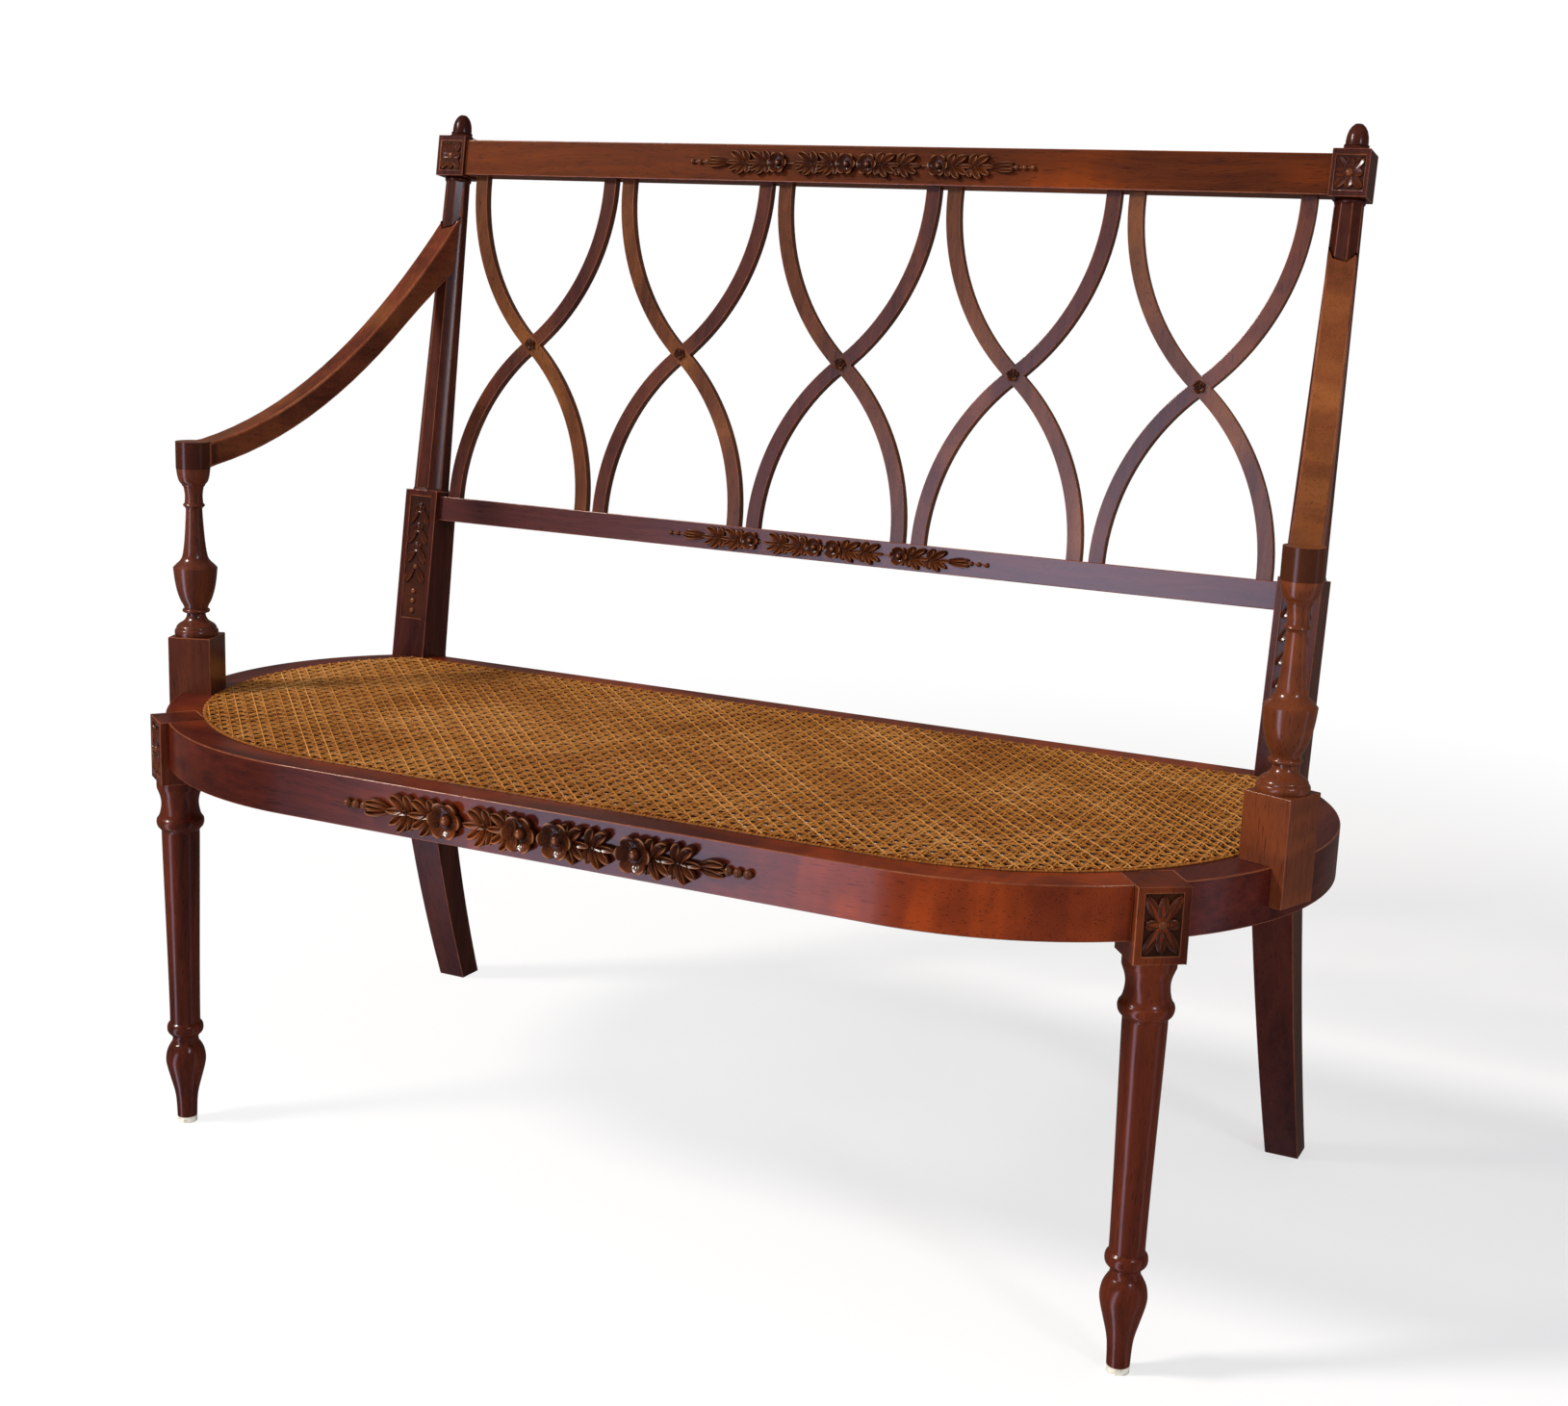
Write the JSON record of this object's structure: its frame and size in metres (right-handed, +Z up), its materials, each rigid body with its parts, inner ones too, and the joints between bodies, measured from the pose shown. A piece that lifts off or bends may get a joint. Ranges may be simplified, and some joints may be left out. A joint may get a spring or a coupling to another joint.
{
  "type": "cane settee",
  "caption": "Two-seat settee with an oval caned seat, turned front legs, raked rear legs, an open back of crossing ogee bars, downswept arms on turned supports and carved garlands.",
  "frame": {"origin": "On the floor under the middle of the bounding box", "axes": "+X runs along the seat to the right seen from the front, +Y to the back, +Z up; the front faces -Y"},
  "size_m": [1.1744, 0.63, 1.0209],
  "materials": {
    "leg_wood": "polished red-brown mahogany",
    "post_wood": "polished red-brown mahogany",
    "seat_rail_wood": "polished red-brown mahogany",
    "back_rail_wood": "polished red-brown mahogany",
    "bar_wood": "polished red-brown mahogany",
    "arm_wood": "polished warm mahogany",
    "carving": "carved mahogany, lighter than the rails",
    "cane": "woven golden-brown cane, satin",
    "cane_binding": "flat golden-brown cane strip, satin",
    "inner_wood": "plain unpolished wood",
    "steel": "plain steel",
    "glide": "off-white plastic"
  },
  "bodies": {
    "root": {"front_leg_left": "leg_wood", "front_leg_right": "leg_wood", "rear_leg_left": "post_wood", "rear_leg_right": "post_wood", "finial_left": "post_wood", "finial_right": "post_wood", "front_seat_rail": "seat_rail_wood", "side_seat_rail_left": "seat_rail_wood", "side_seat_rail_right": "seat_rail_wood", "back_seat_rail": "seat_rail_wood", "crest_rail": "back_rail_wood", "lower_back_rail": "back_rail_wood", "splat_front_1": "bar_wood", "splat_back_1": "bar_wood", "splat_front_2": "bar_wood", "splat_back_2": "bar_wood", "splat_front_3": "bar_wood", "splat_back_3": "bar_wood", "splat_front_4": "bar_wood", "splat_back_4": "bar_wood", "splat_front_5": "bar_wood", "splat_back_5": "bar_wood", "arm_left": "arm_wood", "arm_right": "arm_wood", "arm_post_left": "arm_wood", "arm_post_right": "arm_wood", "splat_rosettes": "carving", "crest_garland": "carving", "lower_rail_garland": "carving", "seat_rail_garland": "carving", "cane_panel": "cane", "cane_binding": "cane_binding", "seat_brace": "inner_wood", "corner_blocks": "inner_wood", "corner_block_screws": "steel", "arm_post_screws": "steel", "front_glide_left": "glide", "front_glide_right": "glide"}
  },
  "joints": []
}
